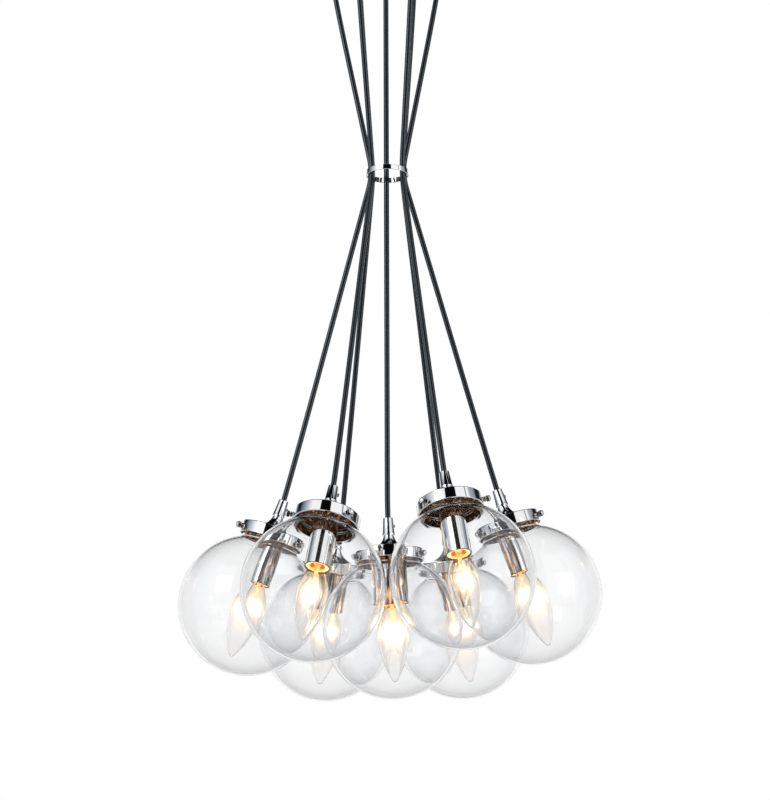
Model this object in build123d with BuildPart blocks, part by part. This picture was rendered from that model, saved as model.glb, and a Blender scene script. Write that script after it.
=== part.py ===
from build123d import *
import os
from math import asin, cos, degrees, pi, radians, sin, sqrt, tan

# A cluster pendant: seven clear globe pendants hang on cords from one ceiling canopy, and one
# chrome ring draws the cords together half way. Millimetres, +Z up. The origin is the centre of
# the canopy, in the plane of the ceiling. On a pendant, a depth is counted from the top of its
# stem down its own axis.

os.makedirs("parts", exist_ok=True)

# ---- layout, by name: azimuth, radius and drop of the stem's top, lean, azimuth of a screw ----
# They hang a little unevenly, as measured on the photograph, and their globes nearly touch.
STEM_CIRCLE = 115.5
STEM_DROP = 660
LEAN = 17.8
PENDANTS = {
    "centre": (180, 2.2, STEM_DROP + 18.6, -2.1, -30),
    "right": (0, STEM_CIRCLE + 0.2, STEM_DROP - 10.8, LEAN - 0.7, -30),
    "back_right": (60, STEM_CIRCLE + 0.8, STEM_DROP + 8.2, LEAN + 0.1, -30),
    "back_left": (120, STEM_CIRCLE - 0.7, STEM_DROP + 8.9, LEAN - 0.2, -30),
    "left": (180, STEM_CIRCLE - 0.9, STEM_DROP - 1.9, LEAN + 0.6, -30),
    "front_left": (240, STEM_CIRCLE - 3, STEM_DROP + 4.3, LEAN + 1.2, -50),
    "front_right": (300, STEM_CIRCLE + 2.7, STEM_DROP - 8.2, LEAN - 0.8, -15),
}
OUTER_PENDANTS = len(PENDANTS) - 1
SCREW_TAGS = ("a", "b", "c")

# ---- ceiling canopy ----
CANOPY_RADIUS = 90
CANOPY_DEPTH = 28
CANOPY_WALL = 1.5
CANOPY_EDGE = 6
CANOPY_FLOOR = -CANOPY_DEPTH

# ---- ceiling bracket, its studs, cap nuts and terminal block ----
BRACKET_LENGTH = 124
BRACKET_WIDTH = 24
BRACKET_THICK = 2.5
CEILING_HOLE_SPACING = 66
CEILING_HOLE_RADIUS = 2.5
FEED_HOLE_RADIUS = 6
STUD_INSET = 10
STUD_SPACING = BRACKET_LENGTH - 2 * STUD_INSET
STUD_RADIUS = 2
STUD_STANDS_OUT = 5
STUD_GAP = 0.2
CAP_NUT_RADIUS = 4.5
CAP_NUT_HEIGHT = 4
TERMINAL_LENGTH = 16
TERMINAL_WIDTH = 30
TERMINAL_HEIGHT = 11
TERMINAL_CENTRE = 18
TERMINAL_ENTRIES = 3
TERMINAL_ENTRY_RADIUS = 2
TERMINAL_PITCH = 9

# ---- cord glands ----
GLAND_CIRCLE = 63
GLAND_LENGTH = 13
GLAND_RADIUS = 8
GLAND_FLANGE = 2.5
GLAND_BODY_RADIUS = 6.5
GLAND_MOUTH_RADIUS = 5
GLAND_SEAT = 6
THREAD_RADIUS = 4.8
THREAD_GAP = 0.2
THREAD_LENGTH = 8
LOCKNUT_RADIUS = 7.5
LOCKNUT_HEIGHT = 4
WIRE_RADIUS = 2.2

# ---- gathering ring and cords ----
RING_DROP = 286
RING_RADIUS = 24
RING_WALL = 1.6
RING_HEIGHT = 6
CORD_RADIUS = 3.1
CORD_BORE_GAP = 0.3
CORD_RING_GAP = 0.45
CORD_BEND_AT_RING = 24
CORD_GATHER = 0.43  # share of its way round from the ring's left or right that a cord keeps there
CORD_BELOW_GLAND = 9
CORD_ABOVE_STEM = 12
BEND_SHARE = 0.45

# ---- stem with its wire tube, and the collar that flares onto the cap ----
STEM_TOP_RADIUS = 5.4
STEM_FOOT_RADIUS = 7
STEM_LENGTH = 19
CORD_SEAT = 8
TUBE_RADIUS = 5
TUBE_GAP = 0.1
WAIST_RADIUS = 5.8
WAIST_GAP = 0.4
FLARE_TOP_ANGLE = 10
FLARE_RADIUS = 18
FLARE_FOOT = STEM_LENGTH + WAIST_GAP

# ---- cap over the globe's neck ----
CAP_RADIUS = 35
CAP_HEIGHT = 12.5
CAP_WALL = 1.5
CAP_EDGE = 1.2
CAP_TOP = FLARE_FOOT + FLARE_RADIUS * (1 - sin(radians(FLARE_TOP_ANGLE)))
CAP_FOOT = CAP_TOP + CAP_HEIGHT

# ---- thumbscrews through the cap ----
SCREW_RADIUS = 1.9
SCREW_GAP = 0.06
SCREW_BELOW_CAP_TOP = 8
SCREW_BARE = 3.5
SCREW_TIP_GAP = 0.3
HEAD_RADIUS = 3.3
HEAD_LENGTH = 5
HEAD_SIDES = 12

# ---- glass globe ----
GLOBE_RADIUS = 75
GLOBE_WALL = 2
NECK_GAP = 2.7
NECK_SHOWS = 4.6
NECK_RADIUS = CAP_RADIUS - CAP_WALL - NECK_GAP
GLOBE_CENTRE = CAP_FOOT + NECK_SHOWS + sqrt(GLOBE_RADIUS**2 - NECK_RADIUS**2)
LIP_REACH = 1.5
LIP_HEIGHT = 3
NECK_TOP_GAP = 0.5
NECK_TOP = CAP_TOP + CAP_WALL + NECK_TOP_GAP

# ---- lampholder: chrome sleeve and the socket insert in it ----
SLEEVE_RADIUS = 13.5
SLEEVE_WALL = 1.2
SLEEVE_MOUTH = 95.5
INSERT_GAP = 0.1
INSERT_RECESS = 1.5
INSERT_TOP = 64
THROAT_RADIUS = 7.4
THROAT_DEPTH = 5

# ---- bulb ----
BASE_RADIUS = 5.95
BASE_GAP = 0.3
BASE_LENGTH = 19
BASE_IN_THROAT = 2
CONTACT_RADIUS = 2.2
CONTACT_LENGTH = 2.5
GLASS_WALL = 0.8
GLASS_NECK_RADIUS = 6.4
GLASS_RADIUS = 16.5
GLASS_WAIST = 126
SHOULDER_BEND = 50
TAPER_BEND = 98
BULB_TIP = 177
TAPER_LENGTH = BULB_TIP - GLASS_WAIST
NOSE_RADIUS = (TAPER_BEND**2 - (TAPER_BEND - GLASS_RADIUS) ** 2 - TAPER_LENGTH**2) / (
    2 * (TAPER_BEND - TAPER_LENGTH)
)
TAPER_ANGLE = degrees(asin((TAPER_LENGTH - NOSE_RADIUS) / (TAPER_BEND - NOSE_RADIUS)))
POST_RADIUS = 2.4
POST_END = 112
INSERT_FACE = SLEEVE_MOUTH - INSERT_RECESS
BASE_TOP = INSERT_FACE - THROAT_DEPTH + BASE_IN_THROAT
BASE_FOOT = BASE_TOP - BASE_LENGTH
CONTACT_FOOT = BASE_FOOT - CONTACT_LENGTH


def level(place, depth):
    """The plane square to a pendant's axis at a depth, with x outwards from the cluster."""
    azimuth, radius, drop, lean, _ = place
    turn, tilt = radians(azimuth), radians(lean)
    outward = Vector(cos(turn), sin(turn), 0)
    up = outward * -sin(tilt) + Vector(0, 0, cos(tilt))
    across = outward * cos(tilt) + Vector(0, 0, sin(tilt))
    top = outward * radius - Vector(0, 0, drop)
    return Plane(origin=top - up * depth, x_dir=across, z_dir=up)


def section(place):
    """The plane through a pendant's axis: x outwards, y up, origin at the top of the stem."""
    top = level(place, 0)
    return Plane(origin=top.origin, x_dir=top.x_dir, z_dir=-top.y_dir)


def axis_of(place):
    """A pendant's own axis, pointing up."""
    top = level(place, 0)
    return Axis(top.origin, top.z_dir)


def screw_plane(place, number, reach):
    """The plane square to a thumbscrew, at a distance from the pendant's axis."""
    azimuth, first = place[0], place[4]
    spread = 360 / len(SCREW_TAGS)
    ring = level(place, CAP_TOP + SCREW_BELOW_CAP_TOP)
    turn = radians(first - azimuth + number * spread)
    outward = ring.x_dir * cos(turn) + ring.y_dir * sin(turn)
    return Plane(origin=ring.origin + outward * reach, x_dir=ring.z_dir, z_dir=outward)


def write(node, *pieces):
    """Write a node's separate solids to its STEP file."""
    group = Compound(label=node, children=list(pieces))
    export_step(group, f"parts/{node}.step")


# ======================================================================== canopy
with BuildPart() as canopy:
    with BuildSketch(Plane.XZ) as canopy_half:
        with BuildLine():
            Polyline(
                (0, CANOPY_FLOOR),
                (CANOPY_RADIUS, CANOPY_FLOOR),
                (CANOPY_RADIUS, 0),
                (CANOPY_RADIUS - CANOPY_WALL, 0),
                (CANOPY_RADIUS - CANOPY_WALL, CANOPY_FLOOR + CANOPY_WALL),
                (0, CANOPY_FLOOR + CANOPY_WALL),
                close=True,
            )
        make_face()
        corners = canopy_half.vertices().group_by(Axis.X)
        outside = corners[-1].sort_by(Axis.Y)[0]
        inside = corners[-2].sort_by(Axis.Y)[0]
        fillet(outside, CANOPY_EDGE)
        fillet(inside, CANOPY_EDGE - CANOPY_WALL)
    revolve(axis=Axis.Z)
    with BuildSketch(Plane.XY.offset(CANOPY_FLOOR)):
        Circle(THREAD_RADIUS + THREAD_GAP)
        with PolarLocations(GLAND_CIRCLE, OUTER_PENDANTS):
            Circle(THREAD_RADIUS + THREAD_GAP)
        with GridLocations(0, STUD_SPACING, 1, 2):
            Circle(STUD_RADIUS + STUD_GAP)
    extrude(amount=CANOPY_WALL, mode=Mode.SUBTRACT)
canopy.part.label = "canopy"
export_step(canopy.part, "parts/canopy.step")

# ======================================================================== ceiling bracket
with BuildPart() as bracket:
    with BuildSketch(Plane.XY.offset(-BRACKET_THICK)):
        with Locations(Rotation(0, 0, 90)):
            SlotOverall(BRACKET_LENGTH, BRACKET_WIDTH)
        Circle(FEED_HOLE_RADIUS, mode=Mode.SUBTRACT)
        with GridLocations(0, CEILING_HOLE_SPACING, 1, 2):
            Circle(CEILING_HOLE_RADIUS, mode=Mode.SUBTRACT)
    extrude(amount=BRACKET_THICK)

with BuildPart() as studs:
    with BuildSketch(Plane.XY.offset(-BRACKET_THICK)):
        with GridLocations(0, STUD_SPACING, 1, 2):
            Circle(STUD_RADIUS)
    extrude(amount=-(CANOPY_DEPTH + STUD_STANDS_OUT - BRACKET_THICK))
write("ceiling_bracket", bracket.part, *studs.part.solids())


# ======================================================================== canopy fittings
def gland(x, y):
    """A cord gland through the canopy's floor, with the seat where its cord ends."""
    foot = -GLAND_LENGTH
    with BuildPart() as body:
        with BuildSketch(Plane((x, y, CANOPY_FLOOR), x_dir=(1, 0, 0), z_dir=(0, -1, 0))):
            with BuildLine():
                Polyline(
                    (WIRE_RADIUS, CANOPY_WALL + THREAD_LENGTH),
                    (THREAD_RADIUS, CANOPY_WALL + THREAD_LENGTH),
                    (THREAD_RADIUS, 0),
                    (GLAND_RADIUS, 0),
                    (GLAND_RADIUS, -GLAND_FLANGE),
                    (GLAND_BODY_RADIUS, -GLAND_FLANGE),
                    (GLAND_MOUTH_RADIUS, foot),
                    (CORD_RADIUS + CORD_BORE_GAP, foot),
                    (CORD_RADIUS + CORD_BORE_GAP, foot + GLAND_SEAT),
                    (WIRE_RADIUS, foot + GLAND_SEAT),
                    close=True,
                )
            make_face()
        revolve(axis=Axis((x, y, 0), (0, 0, 1)))
    return body.part


def locknut(x, y):
    """The hexagon nut that holds a gland from inside the canopy."""
    with BuildPart() as nut:
        with BuildSketch(Plane((x, y, CANOPY_FLOOR + CANOPY_WALL))):
            RegularPolygon(LOCKNUT_RADIUS, 6)
            Circle(THREAD_RADIUS + THREAD_GAP, mode=Mode.SUBTRACT)
        extrude(amount=LOCKNUT_HEIGHT)
    return nut.part


def cap_nut(y):
    """A domed nut on a stud, under the canopy's floor."""
    blind = STUD_STANDS_OUT + STUD_GAP
    with BuildPart() as nut:
        with BuildSketch(Plane((0, y, CANOPY_FLOOR), x_dir=(1, 0, 0), z_dir=(0, -1, 0))):
            with BuildLine():
                Line((STUD_RADIUS + STUD_GAP, 0), (CAP_NUT_RADIUS, 0))
                Line((CAP_NUT_RADIUS, 0), (CAP_NUT_RADIUS, -CAP_NUT_HEIGHT))
                CenterArc((0, -CAP_NUT_HEIGHT), CAP_NUT_RADIUS, 0, -90)
                Line((0, -CAP_NUT_HEIGHT - CAP_NUT_RADIUS), (0, -blind))
                Line((0, -blind), (STUD_RADIUS + STUD_GAP, -blind))
                Line((STUD_RADIUS + STUD_GAP, -blind), (STUD_RADIUS + STUD_GAP, 0))
            make_face()
        revolve(axis=Axis((0, y, 0), (0, 0, 1)))
    return nut.part


with BuildPart() as terminal_block:
    with BuildSketch(Plane.XY.offset(-BRACKET_THICK)):
        with Locations((0, TERMINAL_CENTRE)):
            Rectangle(TERMINAL_WIDTH, TERMINAL_LENGTH)
    extrude(amount=-TERMINAL_HEIGHT)
    with BuildSketch(Plane.XZ.offset(-TERMINAL_CENTRE)):
        with Locations((0, -BRACKET_THICK - TERMINAL_HEIGHT / 2)):
            with GridLocations(TERMINAL_PITCH, 0, TERMINAL_ENTRIES, 1):
                Circle(TERMINAL_ENTRY_RADIUS)
    extrude(amount=TERMINAL_LENGTH, both=True, mode=Mode.SUBTRACT)

gland_spots = [(0, 0)] + [
    (GLAND_CIRCLE * cos(radians(place[0])), GLAND_CIRCLE * sin(radians(place[0])))
    for place in PENDANTS.values()
    if place[1] > RING_RADIUS
]
fittings = [terminal_block.part]
for x, y in gland_spots:
    fittings += [gland(x, y), locknut(x, y)]
for y in (-STUD_SPACING / 2, STUD_SPACING / 2):
    fittings.append(cap_nut(y))
write("canopy_fittings", *fittings)

# ======================================================================== gathering ring
with BuildPart() as gather_ring:
    with BuildSketch(Plane.XZ):
        with Locations((RING_RADIUS - RING_WALL / 2, -RING_DROP)):
            Rectangle(RING_WALL, RING_HEIGHT)
    revolve(axis=Axis.Z)
gather_ring.part.label = "gather_ring"
export_step(gather_ring.part, "parts/gather_ring.step")


# ======================================================================== cords
def bend_at(before, corner, after):
    """The radius of a bend that takes a set share of the shorter run beside it."""
    runs = corner - before, after - corner
    half = radians(runs[0].get_angle(runs[1]) / 2)
    return BEND_SHARE * min(run.length for run in runs) / tan(half)


def cord_route(place):
    """Corner points of a taut cord, from its seat in the gland to its seat in the stem."""
    azimuth, radius = place[0], place[1]
    outward = Vector(cos(radians(azimuth)), sin(radians(azimuth)), 0)
    gland_foot = CANOPY_FLOOR - GLAND_LENGTH
    seat_above = Vector(0, 0, gland_foot + GLAND_SEAT)
    seat_below = level(place, CORD_SEAT).origin
    above_stem = level(place, -CORD_ABOVE_STEM).origin
    if radius < RING_RADIUS:
        points = [seat_above, above_stem, seat_below]
        return points, [bend_at(*points)]
    touch = RING_RADIUS - RING_WALL - CORD_RING_GAP - CORD_RADIUS
    below_gland = outward * GLAND_CIRCLE + Vector(0, 0, gland_foot - CORD_BELOW_GLAND)
    side = 180 * round(azimuth / 180)
    gathered = radians(side + (azimuth - side) * CORD_GATHER)
    ring = Vector(touch * cos(gathered), touch * sin(gathered), -RING_DROP)
    inward = ((ring - below_gland).normalized() + (ring - above_stem).normalized()).normalized()
    half_turn = (ring - below_gland).get_angle(above_stem - ring) / 2
    cut = CORD_BEND_AT_RING * (1 / cos(radians(half_turn)) - 1)
    points = [
        outward * GLAND_CIRCLE + seat_above,
        below_gland,
        ring + inward * cut,
        above_stem,
        seat_below,
    ]
    return points, [bend_at(*points[:3]), CORD_BEND_AT_RING, bend_at(*points[2:])]


for name, place in PENDANTS.items():
    points, bends = cord_route(place)
    with BuildPart() as cord:
        with BuildLine() as route:
            FilletPolyline(*points, radius=bends)
        line = route.wires()[0]
        with BuildSketch(Plane(origin=line @ 0, z_dir=line % 0)):
            Circle(CORD_RADIUS)
        sweep(path=line)
    cord.part.label = f"cord_{name}"
    export_step(cord.part, f"parts/cord_{name}.step")
    share = cord.part.volume / (pi * CORD_RADIUS**2 * line.length)
    print(f"cord_{name}: length {line.length:.1f}, volume over section x length {share:.5f},",
          "radii", [round(bend, 1) for bend in bends])


# ======================================================================== pendants
def stem(place):
    """The tapered stem that grips the cord, with the tube that carries the wires down."""
    with BuildPart() as body:
        with BuildSketch(section(place)):
            with BuildLine():
                Polyline(
                    (CORD_RADIUS + CORD_BORE_GAP, 0),
                    (STEM_TOP_RADIUS, 0),
                    (STEM_FOOT_RADIUS, -STEM_LENGTH),
                    (TUBE_RADIUS, -STEM_LENGTH),
                    (TUBE_RADIUS, -INSERT_TOP),
                    (WIRE_RADIUS, -INSERT_TOP),
                    (WIRE_RADIUS, -CORD_SEAT),
                    (CORD_RADIUS + CORD_BORE_GAP, -CORD_SEAT),
                    close=True,
                )
            make_face()
        revolve(axis=axis_of(place))
    return body.part


def cap(place):
    """The shallow cap with its flared collar, and the holes for the thumbscrews."""
    flare_edge = WAIST_RADIUS + FLARE_RADIUS * cos(radians(FLARE_TOP_ANGLE))
    with BuildPart() as body:
        with BuildSketch(section(place)):
            with BuildLine():
                Line((TUBE_RADIUS + TUBE_GAP, -FLARE_FOOT), (WAIST_RADIUS, -FLARE_FOOT))
                CenterArc((flare_edge, FLARE_RADIUS - CAP_TOP), FLARE_RADIUS,
                          180 + FLARE_TOP_ANGLE, 90 - FLARE_TOP_ANGLE)
                Line((flare_edge, -CAP_TOP), (CAP_RADIUS - CAP_EDGE, -CAP_TOP))
                Polyline(
                    (CAP_RADIUS - CAP_EDGE, -CAP_TOP),
                    (CAP_RADIUS, -CAP_TOP - CAP_EDGE),
                    (CAP_RADIUS, -CAP_FOOT),
                    (CAP_RADIUS - CAP_WALL, -CAP_FOOT),
                    (CAP_RADIUS - CAP_WALL, -CAP_TOP - CAP_WALL),
                    (TUBE_RADIUS + TUBE_GAP, -CAP_TOP - CAP_WALL),
                    (TUBE_RADIUS + TUBE_GAP, -FLARE_FOOT),
                )
            make_face()
        revolve(axis=axis_of(place))
        for number in range(len(SCREW_TAGS)):
            with BuildSketch(screw_plane(place, number, NECK_RADIUS)):
                Circle(SCREW_RADIUS + SCREW_GAP)
            extrude(amount=CAP_RADIUS - NECK_RADIUS, mode=Mode.SUBTRACT)
    return body.part


def sleeve(place):
    """The long chrome tube that hides the socket."""
    with BuildPart() as body:
        with BuildSketch(level(place, SLEEVE_MOUTH)):
            Circle(SLEEVE_RADIUS)
            Circle(SLEEVE_RADIUS - SLEEVE_WALL, mode=Mode.SUBTRACT)
        extrude(amount=SLEEVE_MOUTH - CAP_TOP - CAP_WALL)
    return body.part


def insert(place):
    """The socket insert, with the throat and the bore that take the bulb's base."""
    bore = BASE_RADIUS + BASE_GAP
    with BuildPart() as body:
        with BuildSketch(section(place)):
            with BuildLine():
                Polyline(
                    (0, -INSERT_TOP),
                    (SLEEVE_RADIUS - SLEEVE_WALL - INSERT_GAP, -INSERT_TOP),
                    (SLEEVE_RADIUS - SLEEVE_WALL - INSERT_GAP, -INSERT_FACE),
                    (THROAT_RADIUS, -INSERT_FACE),
                    (THROAT_RADIUS, THROAT_DEPTH - INSERT_FACE),
                    (bore, THROAT_DEPTH - INSERT_FACE),
                    (bore, BASE_GAP - CONTACT_FOOT),
                    (0, BASE_GAP - CONTACT_FOOT),
                    close=True,
                )
            make_face()
        revolve(axis=axis_of(place))
    return body.part


def globe(place):
    """The blown glass globe: a sphere with a short straight neck that ends in a lip."""
    inner, bore = GLOBE_RADIUS - GLOBE_WALL, NECK_RADIUS - GLOBE_WALL
    outer_meet = sqrt(GLOBE_RADIUS**2 - NECK_RADIUS**2)
    inner_meet = sqrt(inner**2 - bore**2)
    outer_angle = degrees(asin(outer_meet / GLOBE_RADIUS))
    inner_angle = degrees(asin(inner_meet / inner))
    lip = NECK_RADIUS + LIP_REACH
    with BuildPart() as body:
        with BuildSketch(section(place)):
            with BuildLine():
                Polyline(
                    (bore, -NECK_TOP),
                    (lip, -NECK_TOP),
                    (lip, -NECK_TOP - LIP_HEIGHT),
                    (NECK_RADIUS, -NECK_TOP - LIP_HEIGHT),
                    (NECK_RADIUS, outer_meet - GLOBE_CENTRE),
                )
                CenterArc((0, -GLOBE_CENTRE), GLOBE_RADIUS, outer_angle, -90 - outer_angle)
                Line((0, -GLOBE_CENTRE - GLOBE_RADIUS), (0, -GLOBE_CENTRE - inner))
                CenterArc((0, -GLOBE_CENTRE), inner, -90, 90 + inner_angle)
                Line((bore, inner_meet - GLOBE_CENTRE), (bore, -NECK_TOP))
            make_face()
        revolve(axis=axis_of(place))
    return body.part


def base(place):
    """The bulb's metal base with its centre contact."""
    with BuildPart() as body:
        with BuildSketch(level(place, BASE_TOP)):
            Circle(BASE_RADIUS)
        extrude(amount=BASE_LENGTH)
        with BuildSketch(level(place, BASE_FOOT)):
            Circle(CONTACT_RADIUS)
        extrude(amount=CONTACT_LENGTH)
    return body.part


def glass_form(place, wall):
    """The bulb's torpedo form, solid, drawn in all round by a wall."""
    shoulder, taper = SHOULDER_BEND - wall, TAPER_BEND - wall
    neck = GLASS_NECK_RADIUS - wall
    rise = sqrt(shoulder**2 - (neck - GLASS_RADIUS + SHOULDER_BEND) ** 2)
    shoulder_angle = degrees(asin(rise / shoulder))
    nose, nose_top = NOSE_RADIUS - wall, NOSE_RADIUS - BULB_TIP
    top = -BASE_TOP - wall
    with BuildPart() as form:
        with BuildSketch(section(place)):
            with BuildLine():
                Line((0, top), (neck, top))
                Line((neck, top), (neck, rise - GLASS_WAIST))
                CenterArc((GLASS_RADIUS - SHOULDER_BEND, -GLASS_WAIST), shoulder,
                          shoulder_angle, -shoulder_angle)
                CenterArc((GLASS_RADIUS - TAPER_BEND, -GLASS_WAIST), taper, 0, -TAPER_ANGLE)
                CenterArc((0, nose_top), nose, -TAPER_ANGLE, TAPER_ANGLE - 90)
                Line((0, wall - BULB_TIP), (0, top))
            make_face()
        revolve(axis=axis_of(place))
    return form.part


def glass(place):
    """The bulb's clear envelope."""
    with BuildPart() as body:
        add(glass_form(place, 0))
        add(glass_form(place, GLASS_WALL), mode=Mode.SUBTRACT)
    return body.part


def post(place):
    """The glass post inside the envelope that carries the filament."""
    foot = BASE_TOP + GLASS_WALL
    with BuildPart() as body:
        with BuildSketch(level(place, POST_END)):
            Circle(POST_RADIUS)
        extrude(amount=POST_END - foot)
    return body.part


def thumbscrew(place, number):
    """A knurled thumbscrew that reaches through the cap to the globe's neck."""
    tip = NECK_RADIUS + SCREW_TIP_GAP
    head = CAP_RADIUS + SCREW_BARE
    with BuildPart() as body:
        with BuildSketch(screw_plane(place, number, tip)):
            Circle(SCREW_RADIUS)
        extrude(amount=head - tip)
        with BuildSketch(screw_plane(place, number, head)):
            RegularPolygon(HEAD_RADIUS, HEAD_SIDES)
        extrude(amount=HEAD_LENGTH)
    return body.part


for name, place in PENDANTS.items():
    write(f"fitter_{name}", stem(place), cap(place))
    write(f"lampholder_{name}", sleeve(place), insert(place))
    write(f"globe_{name}", globe(place))
    write(f"bulb_{name}", base(place), glass(place), post(place))
    for number, tag in enumerate(SCREW_TAGS):
        write(f"thumbscrew_{name}_{tag}", thumbscrew(place, number))
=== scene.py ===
import bpy
import bmesh
from math import asin, cos, degrees, pi, radians, sin, sqrt
from mathutils import Matrix, Vector


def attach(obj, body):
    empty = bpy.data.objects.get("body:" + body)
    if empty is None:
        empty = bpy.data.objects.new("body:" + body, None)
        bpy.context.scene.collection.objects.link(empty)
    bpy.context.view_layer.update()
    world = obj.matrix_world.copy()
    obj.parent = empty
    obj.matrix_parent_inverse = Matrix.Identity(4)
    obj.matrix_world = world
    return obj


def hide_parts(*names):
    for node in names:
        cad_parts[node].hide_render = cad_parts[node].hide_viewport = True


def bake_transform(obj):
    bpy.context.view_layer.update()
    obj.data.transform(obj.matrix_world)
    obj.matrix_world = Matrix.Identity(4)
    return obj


# The dressed cluster pendant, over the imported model. Sizes are in millimetres, as in the part's
# source, and become metres where a mesh is made. A depth runs down a pendant's axis from the top
# of its stem.

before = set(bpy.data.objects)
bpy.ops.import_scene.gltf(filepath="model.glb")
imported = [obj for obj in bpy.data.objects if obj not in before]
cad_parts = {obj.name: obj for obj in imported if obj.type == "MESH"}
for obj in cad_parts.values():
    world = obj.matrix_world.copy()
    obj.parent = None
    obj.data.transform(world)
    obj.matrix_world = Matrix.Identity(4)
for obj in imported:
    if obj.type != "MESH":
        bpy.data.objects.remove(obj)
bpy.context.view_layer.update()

MM = 0.001

# ---- layout, as in the part's source: azimuth, radius, drop, lean, azimuth of a screw ----
STEM_CIRCLE = 115.5
STEM_DROP = 660
LEAN = 17.8
PENDANTS = {
    "centre": (180, 2.2, STEM_DROP + 18.6, -2.1, -30),
    "right": (0, STEM_CIRCLE + 0.2, STEM_DROP - 10.8, LEAN - 0.7, -30),
    "back_right": (60, STEM_CIRCLE + 0.8, STEM_DROP + 8.2, LEAN + 0.1, -30),
    "back_left": (120, STEM_CIRCLE - 0.7, STEM_DROP + 8.9, LEAN - 0.2, -30),
    "left": (180, STEM_CIRCLE - 0.9, STEM_DROP - 1.9, LEAN + 0.6, -30),
    "front_left": (240, STEM_CIRCLE - 3, STEM_DROP + 4.3, LEAN + 1.2, -50),
    "front_right": (300, STEM_CIRCLE + 2.7, STEM_DROP - 8.2, LEAN - 0.8, -15),
}
SCREW_TAGS = ("a", "b", "c")

# ---- sizes, as in the part's source or worked out there ----
GLAND_CIRCLE = 63
CORD_TOP = -35
BELOW_GLAND = -50
RING_DROP = 286
RING_RADIUS = 24
RING_WALL = 1.6
RING_HEIGHT = 6
CORD_RADIUS = 3.1
CORD_GAP = 0.3
CORD_SEAT = 8
CORD_TOUCH = 18.85
CORD_GATHER = 0.43
ABOVE_STEM = 12
STEM_TOP_RADIUS = 5.4
STEM_FOOT_RADIUS = 7
STEM_LENGTH = 19
WIRE_RADIUS = 2.2
TUBE_RADIUS = 5
TUBE_GAP = 0.1
WAIST_RADIUS = 5.8
FLARE_FOOT = 19.4
FLARE_EDGE = 23.53
FLARE_RADIUS = 18
CAP_RADIUS = 35
CAP_TOP = 34.27
CAP_FOOT = 46.77
CAP_WALL = 1.5
CAP_EDGE = 1.2
SCREW_DEPTH = 42.27
SCREW_RADIUS = 1.9
SCREW_GAP = 0.06
SCREW_TIP = 31.1
SCREW_HEAD = 38.5
HEAD_RADIUS = 3.3
HEAD_LENGTH = 5
GLOBE_RADIUS = 75
GLOBE_WALL = 2
GLOBE_CENTRE = 119.76
NECK_RADIUS = 30.8
NECK_TOP = 36.27
BEAD_RADIUS = 1.5
SLEEVE_RADIUS = 13.5
SLEEVE_WALL = 1.2
SLEEVE_MOUTH = 95.5
INSERT_RADIUS = 12.2
INSERT_TOP = 64
INSERT_FACE = 94
THROAT_RADIUS = 7.4
THROAT_FLOOR = 89
BORE_RADIUS = 6.25
BORE_FLOOR = 69.2
BASE_RADIUS = 5.95
BASE_TOP = 91
BASE_FOOT = 72
CONTACT_RADIUS = 2.2
CONTACT_FOOT = 69.5
GLASS_WALL = 0.8
GLASS_NECK = 6.4
GLASS_RADIUS = 16.5
GLASS_WAIST = 126
SHOULDER_BEND = 50
TAPER_BEND = 98
TAPER_ANGLE = 30.06
NOSE_RADIUS = 3.84
BULB_TIP = 177
POST_RADIUS = 2.4
POST_END = 112

# ---- sizes of what only this script has: edges, ridges, bosses, set screws, thread, wires ----
RING_EDGE = 0.6
CORD_SIDES = 48
CORD_RIDGES = 4
CORD_RIDGE_DEPTH = 0.15
CORD_CUT = 2.45  # from where a cord touches the ring inwards to its route's corner
NEAR_RING = 37  # from that corner along the cord to where its bend begins
STEM_LIP = 0.4
STEM_EDGE = 0.6
STEM_BAND = 1.6
STEM_BAND_EDGE = 0.4
STEM_BAND_STEP = 0.25
CAP_LIP = 0.3
CAP_EDGE_INSIDE = 1
BOSS_RADIUS = 3.1
BOSS_HEIGHT = 0.6
BOSS_SUNK = 0.5
BOSS_EDGE = 0.4
SET_SCREW_RADIUS = 1.8
SET_SCREW_LENGTH = 2.6
SET_SCREW_EDGE = 0.3
SET_SCREW_DEPTH = 8.5
SET_SCREW_SEAT = 5
SET_SCREW_TURN = 60
SOCKET_RADIUS = 0.8
SOCKET_DEPTH = 1.2
KNURLS = 32
MOUTH_EDGE = 0.4
THROAT_BEVEL = ((1.6, 0), (0.3, 0.5), (0, 0.9))  # outwards from the throat, up from the face
NECK_BEND = 1.2
NECK_BEND_INSIDE = 2.4
NECK_EDGE = 0.6
BASE_EDGE = 0.3
BASE_TAPER = 3
BASE_TAPER_RADIUS = BASE_RADIUS - 0.4
BASE_FOOT_RADIUS = 3.4
CONTACT_EDGE = 0.6
CONTACT_TIP_RADIUS = 1.4
THREAD_FROM_TOP = 1.5
THREAD_STEPS = 24
THREAD_STEP = 0.5
THREAD_PITCH = 2.5
THREAD_DEPTH = 0.35
POST_FLARE = 1.6
POST_TAPER = 5
POST_WAIST = 0.6
POST_BEAD_RADIUS = POST_RADIUS - 0.2
POST_BEAD_TOP = 1.2
POST_BEAD_CENTRE = 1.4
FILAMENT_DEPTH = 124
FILAMENT_REACH = 6
COIL_RADIUS = 0.9
COIL_TURNS = 14
COIL_STEPS = 240
COIL_SAG = 3
FINE_WIRE = 0.22

# ---- where painted light and shade change, in a piece's own coordinates ----
SLEEVE_PAINTED_GLOW = (-50, -88)
CAP_PAINTED_GLINTS = (-16, 24)
SCREW_PAINTED_HIGHLIGHT = (10.6, 11.2)
THROAT_PAINTED_SHADE = 5

WHITE, BLACK, OFF = (1, 1, 1), (0.003, 0.003, 0.004), (0, 0, 0)

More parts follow.
